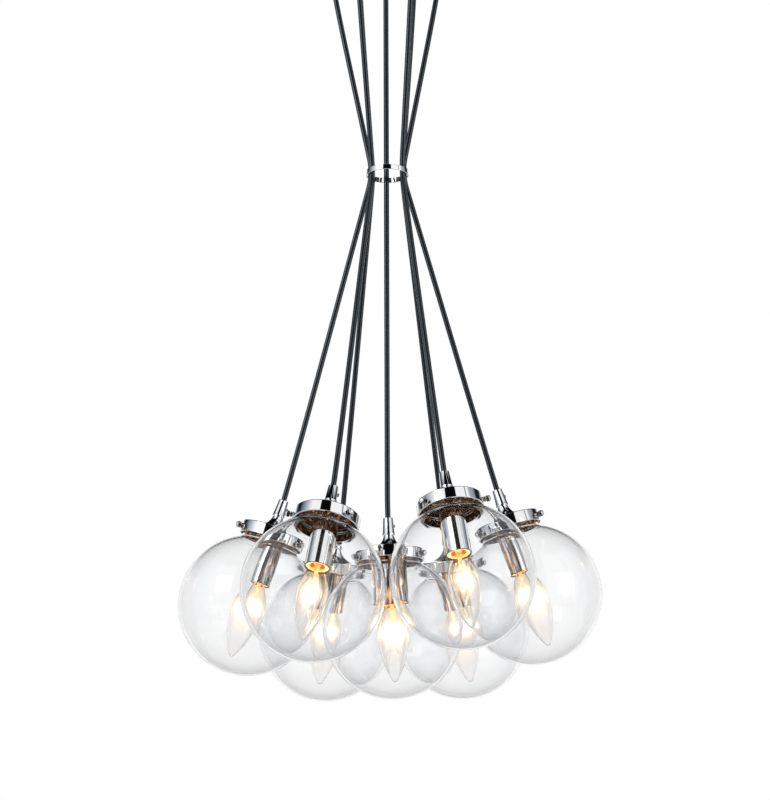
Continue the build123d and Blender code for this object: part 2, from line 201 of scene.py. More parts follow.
# ======================================================================== camera
CAMERA_PLACE = (61.3, -2545.2, -1196.1)
CAMERA_PITCH = radians(14.3)
CAMERA_YAW = radians(1.48)
CAMERA_ROLL = radians(-0.41)
CAMERA_LENS = 108.38
CAMERA_SENSOR = 36
CAMERA_REACH = 50  # in metres
LIGHT_BOUNCES = 28

scene = bpy.context.scene
# Light that goes through three globes and a bulb crosses sixteen faces of glass.
scene.cycles.max_bounces = LIGHT_BOUNCES
scene.cycles.transmission_bounces = LIGHT_BOUNCES
forward = Vector((-sin(CAMERA_YAW) * cos(CAMERA_PITCH), cos(CAMERA_YAW) * cos(CAMERA_PITCH),
                  sin(CAMERA_PITCH)))
level_right = Vector((cos(CAMERA_YAW), sin(CAMERA_YAW), 0))
level_up = level_right.cross(forward)
right = level_right * cos(CAMERA_ROLL) + level_up * sin(CAMERA_ROLL)
camera_data = bpy.data.cameras.new("camera")
camera_data.lens = CAMERA_LENS
camera_data.sensor_width = CAMERA_SENSOR
camera_data.clip_end = CAMERA_REACH
camera = bpy.data.objects.new("camera", camera_data)
scene.collection.objects.link(camera)
turn = Matrix((right, right.cross(forward), -forward)).transposed()
camera.matrix_world = Matrix.Translation(Vector(CAMERA_PLACE) * MM) @ turn.to_4x4()
scene.camera = camera


# ======================================================================== finishes
def material(name, **values):
    """A Principled material with its values set on the shader's own sockets."""
    made = bpy.data.materials.new(name)
    made.use_nodes = True
    shader = made.node_tree.nodes["Principled BSDF"]
    for socket, value in values.items():
        shader.inputs[socket.replace("_", " ")].default_value = value
    return made, made.node_tree, shader


def feed(tree, shader, **sources):
    """Links a value or colour to each named socket of a shader."""
    for socket, source in sources.items():
        tree.links.new(source, shader.inputs[socket.replace("_", " ")])


def plug(tree, value, socket):
    """Links a value that is a socket, and sets one that isn't."""
    if isinstance(value, bpy.types.NodeSocket):
        tree.links.new(value, socket)
    else:
        socket.default_value = value


def own_place(tree):
    """A point of the piece in its own coordinates."""
    return tree.nodes.new("ShaderNodeTexCoord").outputs["Object"]


def noise(tree, scale, detail, stretch=(1, 1, 1)):
    """A noise texture over the piece's own coordinates."""
    mapping = tree.nodes.new("ShaderNodeMapping")
    mapping.inputs["Scale"].default_value = stretch
    made = tree.nodes.new("ShaderNodeTexNoise")
    made.inputs["Scale"].default_value = scale
    made.inputs["Detail"].default_value = detail
    tree.links.new(own_place(tree), mapping.inputs["Vector"])
    tree.links.new(mapping.outputs["Vector"], made.inputs["Vector"])
    return made.outputs["Fac"]


def spread(tree, value, low, high, start=0.35, end=0.65):
    """A value taken from between start and end to between low and high."""
    made = tree.nodes.new("ShaderNodeMapRange")
    made.inputs["From Min"].default_value = start
    made.inputs["From Max"].default_value = end
    made.inputs["To Min"].default_value = low
    made.inputs["To Max"].default_value = high
    tree.links.new(value, made.inputs["Value"])
    return made.outputs["Result"]


def ramp(tree, value, *stops):
    """A colour ramp over a value, from (place, colour) stops."""
    made = tree.nodes.new("ShaderNodeValToRGB")
    elements = made.color_ramp.elements
    elements[0].position, elements[0].color = stops[0][0], (*stops[0][1], 1)
    elements[1].position, elements[1].color = stops[-1][0], (*stops[-1][1], 1)
    for place, colour in stops[1:-1]:
        elements.new(place).color = (*colour, 1)
    tree.links.new(value, made.inputs["Fac"])
    return made.outputs["Color"]


def bump(tree, shader, value, strength, distance):
    """A bump from a texture value."""
    made = tree.nodes.new("ShaderNodeBump")
    made.inputs["Strength"].default_value = strength
    made.inputs["Distance"].default_value = distance
    tree.links.new(value, made.inputs["Height"])
    tree.links.new(made.outputs["Normal"], shader.inputs["Normal"])


def mix(tree, factor, low, high, blend="MIX"):
    """A colour mix, of sockets or of plain values."""
    made = tree.nodes.new("ShaderNodeMix")
    made.data_type, made.blend_type = "RGBA", blend
    plug(tree, factor, made.inputs["Factor"])
    for socket, colour in (("A", low), ("B", high)):
        plug(tree, (*colour, 1) if isinstance(colour, tuple) else colour, made.inputs[socket])
    return made.outputs["Result"]


def times(tree, one, other):
    """Two colours multiplied."""
    return mix(tree, 1.0, one, other, "MULTIPLY")


def maths(tree, operation, one, other):
    """One step of arithmetic, on sockets or on plain values."""
    made = tree.nodes.new("ShaderNodeMath")
    made.operation = operation
    plug(tree, one, made.inputs[0])
    plug(tree, other, made.inputs[1])
    return made.outputs["Value"]


def place_along(tree, axis, low, high):
    """A place along one of the piece's own axes: nought at low and one at high, both in mm."""
    split = tree.nodes.new("ShaderNodeSeparateXYZ")
    tree.links.new(own_place(tree), split.inputs["Vector"])
    return spread(tree, split.outputs[axis], 0, 1, low * MM, high * MM)


def by_radius(tree):
    """The distance from the pendant's axis, in the piece's own coordinates, in metres."""
    flat = tree.nodes.new("ShaderNodeVectorMath")
    flat.operation = "MULTIPLY"
    flat.inputs[1].default_value = (1, 1, 0)
    length = tree.nodes.new("ShaderNodeVectorMath")
    length.operation = "LENGTH"
    tree.links.new(own_place(tree), flat.inputs[0])
    tree.links.new(flat.outputs["Vector"], length.inputs[0])
    return length.outputs["Value"]


def slant(tree):
    """How far a surface is turned from the eye."""
    made = tree.nodes.new("ShaderNodeLayerWeight")
    made.inputs["Blend"].default_value = 0.5
    return made.outputs["Facing"]


chrome, tree, shader = material("chrome", Metallic=1.0)
smudge = noise(tree, 18, 5)
feed(tree, shader, Roughness=spread(tree, smudge, 0.015, 0.04),
     Base_Color=ramp(tree, smudge, (0.3, (0.84, 0.85, 0.87)), (0.7, (0.9, 0.9, 0.9))))


def sleeve_with_painted_reflection(name, clear, streaked):
    """Chrome with a painted reflection of the lit bulbs beside it: dark streaks and orange
    glints, painted between two places across it.
    """
    made, tree, shader = material(name, Metallic=1.0, Emission_Strength=1.1)
    painted_side = place_along(tree, "X", clear, streaked)
    streak = noise(tree, 330, 3, (1, 1, 0.09))
    painted_streaks = ramp(tree, streak, (0.0, OFF), (0.42, OFF), (0.5, WHITE), (1.0, WHITE))
    painted_glint_fade = ramp(tree, place_along(tree, "Z", *SLEEVE_PAINTED_GLOW), (0.0, (0.25, 0.25, 0.25)),
                    (1.0, WHITE))
    painted_glints = ramp(tree, noise(tree, 240, 2, (1, 1, 0.14)), (0.0, OFF), (0.48, OFF),
                  (0.54, (0.4, 0.15, 0.04)), (0.6, (1.0, 0.55, 0.22)), (0.68, (1.0, 0.85, 0.6)),
                  (1.0, (1.0, 0.85, 0.6)))
    feed(tree, shader, Roughness=spread(tree, streak, 0.015, 0.05),
         Base_Color=mix(tree, times(tree, painted_streaks, painted_side), (0.88, 0.885, 0.89),
                        (0.07, 0.055, 0.045)),
         Emission_Color=times(tree, painted_glints, times(tree, painted_side, painted_glint_fade)))
    return made


# The sleeves' dark streaks and orange glints are painted reflections of the bulbs beside them.
sleeve_painted_reflection = sleeve_with_painted_reflection("sleeve_painted_reflection", 2, -9)
sleeve_amid_painted_reflection = sleeve_with_painted_reflection("sleeve_amid_painted_reflection", 16, 2)

# Inside the cap: dark grey-brown mottled metal, with orange flecks on the outward side that are
# painted glints of the filaments.
cap_inside_painted_glints, tree, shader = material("cap_inside_painted_glints", Metallic=1.0, Emission_Strength=0.7)
cap_mottle = noise(tree, 170, 5)
painted_glint_side = ramp(tree, place_along(tree, "X", *CAP_PAINTED_GLINTS), (0.0, (0.22, 0.22, 0.22)),
                    (1.0, WHITE))
painted_glint_flecks = ramp(tree, noise(tree, 190, 5), (0.0, (0.012, 0.007, 0.004)), (0.5, (0.02, 0.01, 0.005)),
             (0.57, (0.1, 0.035, 0.01)), (0.62, (0.6, 0.24, 0.06)), (0.68, (1.0, 0.55, 0.22)),
             (1.0, (1.0, 0.7, 0.4)))
feed(tree, shader, Roughness=spread(tree, cap_mottle, 0.08, 0.24),
     Base_Color=ramp(tree, cap_mottle, (0.36, (0.016, 0.013, 0.011)), (0.52, (0.07, 0.056, 0.046)),
                     (0.64, (0.28, 0.25, 0.22))),
     Emission_Color=times(tree, painted_glint_flecks, painted_glint_side))
bump(tree, shader, cap_mottle, 0.8, 0.004)

# Painted shade and highlight: the screws are painted dark, and the domed ends of the thumbscrews'
# heads are painted white as a highlight.
screw_painted_light, tree, shader = material("screw_painted_light", Metallic=1.0)
shade = noise(tree, 420, 3)
painted_highlight_dome = place_along(tree, "Z", *SCREW_PAINTED_HIGHLIGHT)
painted_shade_knurls = ramp(tree, shade, (0.4, (0.04, 0.036, 0.032)), (0.6, (0.42, 0.4, 0.38)))
feed(tree, shader, Base_Color=mix(tree, painted_highlight_dome, painted_shade_knurls, (0.97, 0.97, 0.97)),
     Roughness=mix(tree, painted_highlight_dome, spread(tree, shade, 0.06, 0.14), (0.45, 0.45, 0.45)))

zinc, tree, shader = material("bracket_zinc", Metallic=1.0)
spangle = tree.nodes.new("ShaderNodeTexVoronoi")
spangle.inputs["Scale"].default_value = 140
tree.links.new(own_place(tree), spangle.inputs["Vector"])
feed(tree, shader, Roughness=spread(tree, spangle.outputs["Distance"], 0.28, 0.42, 0, 1),
     Base_Color=ramp(tree, spangle.outputs["Distance"], (0.0, (0.5, 0.52, 0.55)),
                     (1.0, (0.68, 0.69, 0.7))))

cord_black, tree, shader = material("cord_black", IOR=1.6, Specular_IOR_Level=0.62,
                                    Specular_Tint=(0.82, 0.92, 1, 1))
grain = noise(tree, 420, 2)
feed(tree, shader, Roughness=spread(tree, grain, 0.2, 0.21),
     Base_Color=ramp(tree, grain, (0.3, (0.0065, 0.008, 0.0105)),
                     (0.7, (0.0075, 0.0095, 0.0125))))

globe_glass, tree, shader = material("clear_glass", Transmission_Weight=1.0, IOR=1.47,
                                     Roughness=0.0, Specular_IOR_Level=0.5,
                                     Specular_Tint=(0.6, 0.6, 0.6, 1))
ripple = noise(tree, 11, 1)
feed(tree, shader, Base_Color=ramp(tree, ripple, (0.2, (0.972, 0.975, 0.979)),
                                   (0.8, (0.988, 0.989, 0.991))))
bump(tree, shader, ripple, 0.08, 0.002)

# The bulb's glass has painted light: dark amber edges, painted by how far it is turned from the
# eye, and a painted glow around the filament's depth that is brightest across the middle of its
# width.
bulb_glass, tree, shader = material("bulb_glass", Transmission_Weight=1.0, IOR=1.47,
                                    Roughness=0.0, Specular_IOR_Level=0.5,
                                    Specular_Tint=(0.5, 0.5, 0.5, 1), Emission_Strength=0.6)
bump(tree, shader, noise(tree, 60, 1), 0.06, 0.001)
down = place_along(tree, "Z", -BASE_TOP, -BULB_TIP)
turned = slant(tree)
tint = ramp(tree, down, (0.0, (0.96, 0.84, 0.66)), (0.12, (0.98, 0.91, 0.8)),
            (0.3, (0.99, 0.94, 0.87)), (0.5, (0.99, 0.95, 0.91)), (0.68, (0.99, 0.975, 0.96)),
            (1.0, (0.985, 0.98, 0.975)))
painted_edge_shade = ramp(tree, turned, (0.0, WHITE), (0.74, WHITE), (0.86, (0.6, 0.42, 0.2)),
               (0.94, (0.25, 0.14, 0.05)), (1.0, (0.1, 0.05, 0.015)))
painted_glow_by_depth = ramp(tree, down, (0.0, (0.3, 0.1, 0.02)), (0.12, (0.12, 0.06, 0.02)),
            (0.24, (0.2, 0.15, 0.08)), (0.33, (1.0, 0.9, 0.7)), (0.42, (1.0, 0.92, 0.75)),
            (0.5, (0.3, 0.22, 0.12)), (0.6, (0.06, 0.04, 0.02)), (0.75, OFF), (1.0, OFF))
painted_bloom_core = ramp(tree, turned, (0.0, WHITE), (0.05, (0.8, 0.8, 0.8)), (0.14, (0.3, 0.29, 0.27)),
            (0.3, (0.1, 0.09, 0.08)), (0.6, (0.04, 0.03, 0.02)), (1.0, (0.02, 0.015, 0.01)))
feed(tree, shader, Base_Color=times(tree, tint, painted_edge_shade), Emission_Color=times(tree, painted_glow_by_depth, painted_bloom_core))

# The glass post has a painted orange glow from the filament.
post_glass_painted_glow, tree, shader = material("post_glass_painted_glow", Transmission_Weight=1.0, IOR=1.5,
                                    Roughness=0.05, Emission_Strength=0.5)
swirl = noise(tree, 240, 2)
feed(tree, shader,
     Base_Color=ramp(tree, swirl, (0.3, (0.95, 0.8, 0.6)), (0.7, (1.0, 0.95, 0.85))),
     Emission_Color=ramp(tree, swirl, (0.4, (0.5, 0.2, 0.04)), (0.6, (1.0, 0.7, 0.35))))

# The insert has painted light from the bulb: bright rings, a painted dark ring at the throat's
# edge, and colour that is darker into the throat.
insert_painted_glow, tree, shader = material("insert_painted_glow", Roughness=0.35, Emission_Strength=1.5)
reach = spread(tree, by_radius(tree), 0, 1, THROAT_PAINTED_SHADE * MM, INSERT_RADIUS * MM)
feed(tree, shader,
     Base_Color=ramp(tree, reach, (0.0, (0.2, 0.07, 0.02)), (0.35, (0.3, 0.11, 0.03)),
                     (1.0, (0.5, 0.3, 0.14))),
     Emission_Color=ramp(tree, reach, (0.0, (0.5, 0.16, 0.02)), (0.26, (0.2, 0.04, 0.0)),
                         (0.36, (0.5, 0.16, 0.02)), (0.46, (0.8, 0.38, 0.08)),
                         (0.56, (1.0, 0.72, 0.3)), (0.8, (1.0, 0.85, 0.5)),
                         (0.93, (1.0, 0.72, 0.3)), (1.0, (0.6, 0.25, 0.05))))

# The sleeve's mouth and inside: dark brown mottled metal with a painted orange glow from the
# bulb.
sleeve_rim_painted_glow, tree, shader = material("sleeve_rim_painted_glow", Metallic=1.0, Emission_Strength=0.35)
rim_mottle = noise(tree, 160, 2)
feed(tree, shader, Roughness=spread(tree, rim_mottle, 0.15, 0.3),
     Base_Color=ramp(tree, rim_mottle, (0.3, (0.03, 0.015, 0.008)), (0.7, (0.1, 0.05, 0.025))),
     Emission_Color=ramp(tree, rim_mottle, (0.4, (0.1, 0.02, 0.0)), (0.65, (0.4, 0.12, 0.02))))

base_metal, tree, shader = material("base_metal", Metallic=1.0)
wear = noise(tree, 300, 3)
feed(tree, shader, Roughness=spread(tree, wear, 0.2, 0.35),
     Base_Color=ramp(tree, wear, (0.3, (0.55, 0.5, 0.42)), (0.7, (0.75, 0.72, 0.66))))

# The lead wires have a painted orange glow.
lead_wire_painted_glow, tree, shader = material("lead_wire_painted_glow", Metallic=1.0, Emission_Strength=0.8,
                                   Emission_Color=(1.0, 0.45, 0.1, 1))
wear = noise(tree, 500, 2)
feed(tree, shader, Roughness=spread(tree, wear, 0.2, 0.35),
     Base_Color=ramp(tree, wear, (0.3, (0.5, 0.3, 0.14)), (0.7, (0.75, 0.5, 0.28))))

filament_glow, tree, shader = material("filament_glow", Roughness=0.5, Emission_Strength=80.0,
                                       Base_Color=(0.3, 0.2, 0.1, 1))
feed(tree, shader, Emission_Color=ramp(tree, noise(tree, 220, 2), (0.3, (1.0, 0.62, 0.28)),
                                       (0.7, (1.0, 0.78, 0.5))))

# ======================================================================== shapes
ON_AXIS = 1e-6
SAME_POINT = 1e-4


def place_matrix(place):
    """A pendant's own frame: x outwards, z up its axis, origin at the top of the stem."""
    azimuth, radius, drop, lean, _ = place
    around, tilt = radians(azimuth), radians(lean)
    outward = Vector((cos(around), sin(around), 0))
    up = outward * -sin(tilt) + Vector((0, 0, cos(tilt)))
    across = outward * cos(tilt) + Vector((0, 0, sin(tilt)))
    origin = (outward * radius - Vector((0, 0, drop))) * MM
    axes = Matrix((across, up.cross(across), up)).transposed()
    return Matrix.Translation(origin) @ axes.to_4x4()


def sideways(matrix, turn, depth, reach):
    """A place for a turned piece that points outwards from a pendant's axis."""
    seat = Matrix.Rotation(radians(turn), 4, "Z") @ Matrix.Translation(
        (0, 0, -depth * MM)) @ Matrix.Rotation(pi / 2, 4, "Y")
    return matrix @ seat @ Matrix.Translation((0, 0, reach * MM))


def wave(angle):
    """A wave between nought and one."""
    return 0.5 + 0.5 * cos(angle)


def arc(centre_r, centre_z, radius, start, end, steps):
    """Points of an arc in a section, angles in degrees."""
    points = []
    for step in range(steps + 1):
        angle = radians(start + (end - start) * step / steps)
        points.append((centre_r + radius * cos(angle), centre_z + radius * sin(angle)))
    return points


def joined(*loops):
    """Point lists in a row, without doubled points."""
    points = []
    for loop in loops:
        for point in loop:
            if not points or (Vector(point) - Vector(points[-1])).length > SAME_POINT:
                points.append(point)
    return points


def finish_mesh(name, work, smooth=32):
    """A mesh from bmesh work, smooth but for its sharp edges."""
    bmesh.ops.recalc_face_normals(work, faces=work.faces)
    mesh = bpy.data.meshes.new(name)
    work.to_mesh(mesh)
    work.free()
    mesh.shade_smooth()
    mesh.set_sharp_from_angle(angle=radians(smooth))
    return mesh


def lathe(name, sections, segments, smooth):
    """A turned mesh. A section is ((r, z) points, closed?, material index)."""
    work = bmesh.new()
    for points, closed, index in sections:
        rings = []
        for r, z in points:
            if r < ON_AXIS:
                rings.append([work.verts.new((0, 0, z * MM))])
                continue
            rings.append([
                work.verts.new((r * MM * cos(2 * pi * s / segments),
                                r * MM * sin(2 * pi * s / segments), z * MM))
                for s in range(segments)
            ])
        pairs = list(zip(rings, rings[1:]))
        if closed:
            pairs.append((rings[-1], rings[0]))
        for low, high in pairs:
            for s in range(segments):
                n = (s + 1) % segments
                corners = [low[s % len(low)], low[n % len(low)],
                           high[n % len(high)], high[s % len(high)]]
                face = work.faces.new(dict.fromkeys(corners))
                face.material_index = index
    return finish_mesh(name, work, smooth)


def skin(work, rings):
    """Faces between rings of as many points each, and over the first and the last."""
    for low, high in zip(rings, rings[1:]):
        for s in range(len(low)):
            n = (s + 1) % len(low)
            work.faces.new((low[s], low[n], high[n], high[s]))
    work.faces.new(rings[0])
    work.faces.new(rings[-1])


def tube(points, radius, sides, ridges=0, depth=0.0):
    """A mesh tube that follows points, with ridges along it where asked."""
    work = bmesh.new()
    side = Vector((0.05, 0.99, 0.02))  # any direction that no tube starts along
    rings = []
    for number, point in enumerate(points):
        before, after = points[max(number - 1, 0)], points[min(number + 1, len(points) - 1)]
        along = (after - before).normalized()
        side = (side - along * side.dot(along)).normalized()
        other = along.cross(side)
        ring = []
        for s in range(sides):
            angle = 2 * pi * s / sides
            reach = radius - depth * wave(ridges * angle)
            ring.append(work.verts.new(point + side * reach * cos(angle)
                                       + other * reach * sin(angle)))
        rings.append(ring)
    skin(work, rings)
    return work


def wires(name, *lines, radius):
    """Thin round wires in one mesh, each through its own points in millimetres."""
    work = bmesh.new()
    for line in lines:
        part = tube([Vector(point) * MM for point in line], radius * MM, 8)
        held = bpy.data.meshes.new("held")
        part.to_mesh(held)
        part.free()
        work.from_mesh(held)
        bpy.data.meshes.remove(held)
    return finish_mesh(name, work, 50)


def nurbs_points(route):
    """Points read along a smooth NURBS line with the route's points as control points."""
    curve = bpy.data.curves.new("route", "CURVE")
    curve.dimensions = "3D"
    curve.resolution_u = 24
    spline = curve.splines.new("NURBS")
    spline.points.add(len(route) - 1)
    for point, spot in zip(spline.points, route):
        point.co = (*spot, 1)
    spline.order_u = 3
    spline.use_endpoint_u = True
    holder = bpy.data.objects.new("route", curve)
    scene.collection.objects.link(holder)
    bpy.context.view_layer.update()
    graph = bpy.context.evaluated_depsgraph_get()
    line = bpy.data.meshes.new_from_object(holder.evaluated_get(graph), depsgraph=graph)
    points = [vertex.co.copy() for vertex in line.vertices]
    bpy.data.objects.remove(holder)
    bpy.data.meshes.remove(line)
    bpy.data.curves.remove(curve)
    return points


def piece(name, mesh, matrix, body, *materials, slot, nodes=()):
    """A piece in the scene: its place, its body, its finish and what it stands for."""
    made = bpy.data.objects.new(name, mesh)
    scene.collection.objects.link(made)
    made.matrix_world = matrix
    if not mesh.materials:
        for each in materials:
            mesh.materials.append(each)
    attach(made, body)
    if nodes:
        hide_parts(*nodes)
    return made


def dress(node, finish):
    """A CAD node keeps its shape and gets a finish."""
    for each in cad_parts[node].material_slots:
        each.material = finish


# ======================================================================== cords
for name, place in PENDANTS.items():
    matrix = place_matrix(place)
    azimuth = place[0]
    outer = name != "centre"
    body = f"pendant_{name}" if outer else "frame"
    outward = Vector((cos(radians(azimuth)), sin(radians(azimuth)), 0))
    seat = matrix @ Vector((0, 0, -CORD_SEAT * MM))
    above_stem = matrix @ Vector((0, 0, ABOVE_STEM * MM))
    side = 180 * round(azimuth / 180)
    gathered = radians(side + (azimuth - side) * CORD_GATHER)
    touch = Vector((CORD_TOUCH * cos(gathered), CORD_TOUCH * sin(gathered), -RING_DROP)) * MM
    if outer:
        below_gland = (outward * GLAND_CIRCLE + Vector((0, 0, BELOW_GLAND))) * MM
        inward = ((touch - below_gland).normalized()
                  + (touch - above_stem).normalized()).normalized()
        corner = touch + inward * CORD_CUT * MM
        route = [
            (outward * GLAND_CIRCLE + Vector((0, 0, CORD_TOP))) * MM,
            below_gland,
            corner + (below_gland - corner).normalized() * NEAR_RING * MM,
            corner,
            corner + (above_stem - corner).normalized() * NEAR_RING * MM,
            above_stem,
            seat,
        ]
    else:
        top = Vector((0, 0, CORD_TOP * MM))
        route = [top, above_stem + (top - above_stem).normalized() * NEAR_RING * MM, above_stem,
                 seat]
    points = nurbs_points(route)
    sheath = tube(points, CORD_RADIUS * MM, CORD_SIDES, CORD_RIDGES, CORD_RIDGE_DEPTH * MM)
    cord = bpy.data.objects.new(f"cable_{name}", finish_mesh(f"cable_{name}", sheath, 60))
    scene.collection.objects.link(cord)
    cord.data.materials.append(cord_black)
    if outer:
        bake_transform(cord)
    else:
        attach(cord, "frame")
    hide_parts(f"cord_{name}")

# ======================================================================== gathering ring
half_height, ring_inner = RING_HEIGHT / 2, RING_RADIUS - RING_WALL
ring_section = joined(
    arc(RING_RADIUS - RING_EDGE, half_height - RING_EDGE, RING_EDGE, 0, 90, 6),
    arc(ring_inner + RING_EDGE, half_height - RING_EDGE, RING_EDGE, 90, 180, 6),
    arc(ring_inner + RING_EDGE, RING_EDGE - half_height, RING_EDGE, 180, 270, 6),
    arc(RING_RADIUS - RING_EDGE, RING_EDGE - half_height, RING_EDGE, 270, 360, 6),
)
piece("ring_band", lathe("ring_band", [(ring_section, True, 0)], 128, 60),
      Matrix.Translation((0, 0, -RING_DROP * MM)), "ring", chrome, slot="ring_chrome",
      nodes=["gather_ring"])

# ======================================================================== ceiling parts
dress("canopy", chrome)
dress("ceiling_bracket", zinc)
dress("canopy_fittings", chrome)

# ======================================================================== pendant meshes
cord_bore = CORD_RADIUS + CORD_GAP
stem_foot = -STEM_LENGTH
stem_section = joined(
    [(cord_bore, -CORD_SEAT), (cord_bore, -STEM_LIP)],
    arc(cord_bore + STEM_LIP, -STEM_LIP, STEM_LIP, 180, 90, 4),
    arc(STEM_TOP_RADIUS - STEM_EDGE, -STEM_EDGE, STEM_EDGE, 90, 4, 6),
    [(STEM_FOOT_RADIUS - STEM_BAND_STEP, stem_foot + STEM_BAND + STEM_BAND_EDGE),
     (STEM_FOOT_RADIUS, stem_foot + STEM_BAND), (STEM_FOOT_RADIUS, stem_foot),
     (TUBE_RADIUS, stem_foot), (TUBE_RADIUS, -INSERT_TOP), (WIRE_RADIUS, -INSERT_TOP),
     (WIRE_RADIUS, -CORD_SEAT)],
)
stem_mesh = lathe("stem", [(stem_section, True, 0)], 96, 30)

tube_hole, cap_inner = TUBE_RADIUS + TUBE_GAP, CAP_RADIUS - CAP_WALL
under_cap = -CAP_TOP - CAP_WALL
cap_outside = joined(
    [(tube_hole, -FLARE_FOOT), (WAIST_RADIUS, -FLARE_FOOT)],
    arc(FLARE_EDGE, FLARE_RADIUS - CAP_TOP, FLARE_RADIUS, 190, 270, 28),
    arc(CAP_RADIUS - CAP_EDGE, -CAP_TOP - CAP_EDGE, CAP_EDGE, 90, 0, 10),
    [(CAP_RADIUS, -CAP_FOOT + CAP_LIP), (CAP_RADIUS - CAP_LIP, -CAP_FOOT),
     (cap_inner, -CAP_FOOT)],
)
cap_within = joined(
    [(cap_inner, -CAP_FOOT)],
    arc(cap_inner - CAP_EDGE_INSIDE, under_cap - CAP_EDGE_INSIDE, CAP_EDGE_INSIDE, 0, 90, 6),
    [(tube_hole, under_cap), (tube_hole, -FLARE_FOOT)],
)
cap_mesh = lathe("cap", [(cap_outside, False, 0), (cap_within, False, 1)], 160, 30)

socket_floor = SET_SCREW_LENGTH - SOCKET_DEPTH
set_screw_section = joined(
    [(0, 0), (SET_SCREW_RADIUS, 0), (SET_SCREW_RADIUS, SET_SCREW_LENGTH - SET_SCREW_EDGE)],
    arc(SET_SCREW_RADIUS - SET_SCREW_EDGE, SET_SCREW_LENGTH - SET_SCREW_EDGE, SET_SCREW_EDGE,
        0, 90, 4),
    [(SOCKET_RADIUS, SET_SCREW_LENGTH), (SOCKET_RADIUS, socket_floor), (0, socket_floor)],
)
set_screw_mesh = lathe("set_screw", [(set_screw_section, False, 0)], 32, 30)

screw_hole, boss_top = SCREW_RADIUS + SCREW_GAP, BOSS_HEIGHT + BOSS_SUNK
boss_section = joined(
    [(screw_hole, 0), (BOSS_RADIUS, 0), (BOSS_RADIUS, boss_top - BOSS_EDGE)],
    arc(BOSS_RADIUS - BOSS_EDGE, boss_top - BOSS_EDGE, BOSS_EDGE, 0, 90, 4),
    [(screw_hole, boss_top)],
)
boss_mesh = lathe("boss", [(boss_section, True, 0)], 48, 30)

sleeve_inner, mouth_edge_z = SLEEVE_RADIUS - SLEEVE_WALL, -SLEEVE_MOUTH + MOUTH_EDGE
sleeve_outside = [
    (sleeve_inner, under_cap), (SLEEVE_RADIUS, under_cap), (SLEEVE_RADIUS, mouth_edge_z),
]
sleeve_mouth = joined(
    arc(SLEEVE_RADIUS - MOUTH_EDGE, mouth_edge_z, MOUTH_EDGE, 0, -90, 5),
    arc(sleeve_inner + MOUTH_EDGE, mouth_edge_z, MOUTH_EDGE, 270, 180, 5),
    [(sleeve_inner, under_cap)],
)
sleeve_mesh = lathe("sleeve", [(sleeve_outside, False, 0), (sleeve_mouth, False, 1)], 128, 40)

face_edge_z = -INSERT_FACE + MOUTH_EDGE
insert_section = joined(
    [(0, -INSERT_TOP), (INSERT_RADIUS, -INSERT_TOP), (INSERT_RADIUS, face_edge_z)],
    arc(INSERT_RADIUS - MOUTH_EDGE, face_edge_z, MOUTH_EDGE, 0, -90, 4),
    [(THROAT_RADIUS + out, -INSERT_FACE + up) for out, up in THROAT_BEVEL],
    [(THROAT_RADIUS, -THROAT_FLOOR), (BORE_RADIUS, -THROAT_FLOOR), (BORE_RADIUS, -BORE_FLOOR),
     (0, -BORE_FLOOR)],
)
insert_mesh = lathe("insert", [(insert_section, False, 0)], 96, 30)


def neck_joint(sphere, neck, bend):
    """Angle on the sphere, in degrees, and height where a bend joins it to the neck."""
    reach = sphere + bend
    return degrees(asin((neck + bend) / reach)), sqrt(reach**2 - (neck + bend) ** 2)


inner, neck_inner = GLOBE_RADIUS - GLOBE_WALL, NECK_RADIUS - GLOBE_WALL
out_angle, rise_out = neck_joint(GLOBE_RADIUS, NECK_RADIUS, NECK_BEND)
in_angle, rise_in = neck_joint(inner, neck_inner, NECK_BEND_INSIDE)
globe_section = joined(
    arc(0, -GLOBE_CENTRE, GLOBE_RADIUS, -90, 90 - out_angle, 72),
    arc(NECK_RADIUS + NECK_BEND, rise_out - GLOBE_CENTRE, NECK_BEND, 270 - out_angle, 180, 8),
    arc(NECK_RADIUS, -NECK_TOP - BEAD_RADIUS, BEAD_RADIUS, -90, 90, 10),
    arc(neck_inner + NECK_EDGE, -NECK_TOP - NECK_EDGE, NECK_EDGE, 90, 180, 4),
    arc(neck_inner + NECK_BEND_INSIDE, rise_in - GLOBE_CENTRE, NECK_BEND_INSIDE, 180,
        270 - in_angle, 8),
    arc(0, -GLOBE_CENTRE, inner, 90 - in_angle, -90, 72),
)
globe_mesh = lathe("globe", [(globe_section, False, 0)], 160, 60)


def envelope(wall):
    """The bulb's section from its tip to its neck, drawn in by a wall."""
    shoulder, taper = SHOULDER_BEND - wall, TAPER_BEND - wall
    neck = GLASS_NECK - wall
    rise = sqrt(shoulder**2 - (neck - GLASS_RADIUS + SHOULDER_BEND) ** 2)
    return joined(
        arc(0, NOSE_RADIUS - BULB_TIP, NOSE_RADIUS - wall, -90, -TAPER_ANGLE, 10),
        arc(GLASS_RADIUS - TAPER_BEND, -GLASS_WAIST, taper, -TAPER_ANGLE, 0, 24),
        arc(GLASS_RADIUS - SHOULDER_BEND, -GLASS_WAIST, shoulder, 0,
            degrees(asin(rise / shoulder)), 24),
        [(neck, -BASE_TOP)],
    )


bulb_mesh = lathe("bulb", [(envelope(0) + envelope(GLASS_WALL)[::-1], False, 0)], 96, 60)

